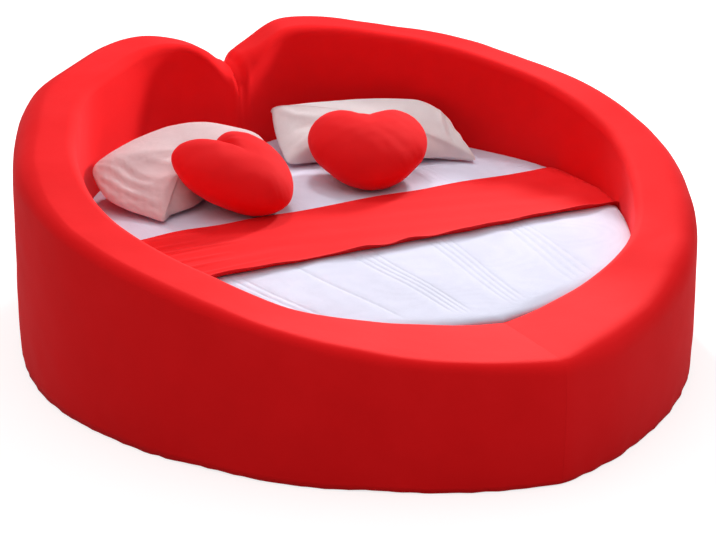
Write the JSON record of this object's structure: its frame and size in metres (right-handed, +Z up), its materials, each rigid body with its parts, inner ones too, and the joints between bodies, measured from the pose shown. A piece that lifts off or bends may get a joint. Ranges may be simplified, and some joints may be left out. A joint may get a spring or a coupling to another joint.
{
  "type": "heart-shaped upholstered bed",
  "caption": "Heart-shaped bed with a padded velvet wall round a quilted mattress, and a cross runner, pillows and heart-shaped cushions laid on top.",
  "frame": {"origin": "on the floor under the middle of the bed's box", "axes": "+Y to the head of the bed, where the heart's cleft is; +X to the right side of the bed seen from its foot; +Z up"},
  "size_m": [2.2004, 2.44, 0.8001],
  "materials": {
    "red_velvet": "soft matte velvet",
    "foam": "open-cell foam",
    "plywood": "raw birch plywood",
    "pine": "planed pine",
    "zinc_steel": "zinc plated",
    "felt": "pressed felt",
    "ticking": "woven ticking",
    "white_knit": "quilted knit",
    "pillow_linen": "brushed cotton"
  },
  "bodies": {
    "bed_frame": {"wall_cover_left": "red_velvet", "wall_cover_right": "red_velvet", "wall_foam_left": "foam", "wall_foam_right": "foam", "outer_panel_left": "plywood", "outer_panel_right": "plywood", "inner_panel_left": "plywood", "inner_panel_right": "plywood", "top_strip_left": "plywood", "top_strip_right": "plywood", "base_plate_left": "plywood", "base_plate_right": "plywood", "uprights_left": "pine", "uprights_right": "pine", "battens_left": "pine", "battens_right": "pine", "floor_glides": "felt", "join_bolts": "zinc_steel", "join_nuts": "zinc_steel", "join_washers": "zinc_steel", "centre_beam": "pine", "beam_screws": "zinc_steel", "centre_legs": "pine", "leg_dowels": "pine", "leg_glides": "felt", "slats_left": "pine", "slats_right": "pine", "slat_webbing": "ticking"},
    "mattress": {"mattress_base_panel": "ticking", "mattress_core": "foam", "mattress_border": "white_knit", "quilted_top": "white_knit"},
    "runner": {"runner": "red_velvet"},
    "pillow_left": {"pillow_left": "pillow_linen"},
    "pillow_right": {"pillow_right": "pillow_linen"},
    "heart_cushion_left": {"heart_cushion_left": "red_velvet"},
    "heart_cushion_right": {"heart_cushion_right": "red_velvet"}
  },
  "joints": [
    {"name": "mattress_lift", "type": "slide", "parent": "bed_frame", "child": "mattress", "axis": [0, 0, 1], "range_m": [0, 0.7]},
    {"name": "runner_lift", "type": "slide", "parent": "mattress", "child": "runner", "axis": [0, 0, 1], "range_m": [0, 0.5]},
    {"name": "pillow_left_lift", "type": "slide", "parent": "runner", "child": "pillow_left", "axis": [0, 0, 1], "range_m": [0, 0.45]},
    {"name": "pillow_right_lift", "type": "slide", "parent": "mattress", "child": "pillow_right", "axis": [0, 0, 1], "range_m": [0, 0.45]},
    {"name": "heart_cushion_left_lift", "type": "slide", "parent": "pillow_left", "child": "heart_cushion_left", "axis": [0, 0, 1], "range_m": [0, 0.45]},
    {"name": "heart_cushion_right_lift", "type": "slide", "parent": "pillow_right", "child": "heart_cushion_right", "axis": [0, 0, 1], "range_m": [0, 0.45]}
  ]
}
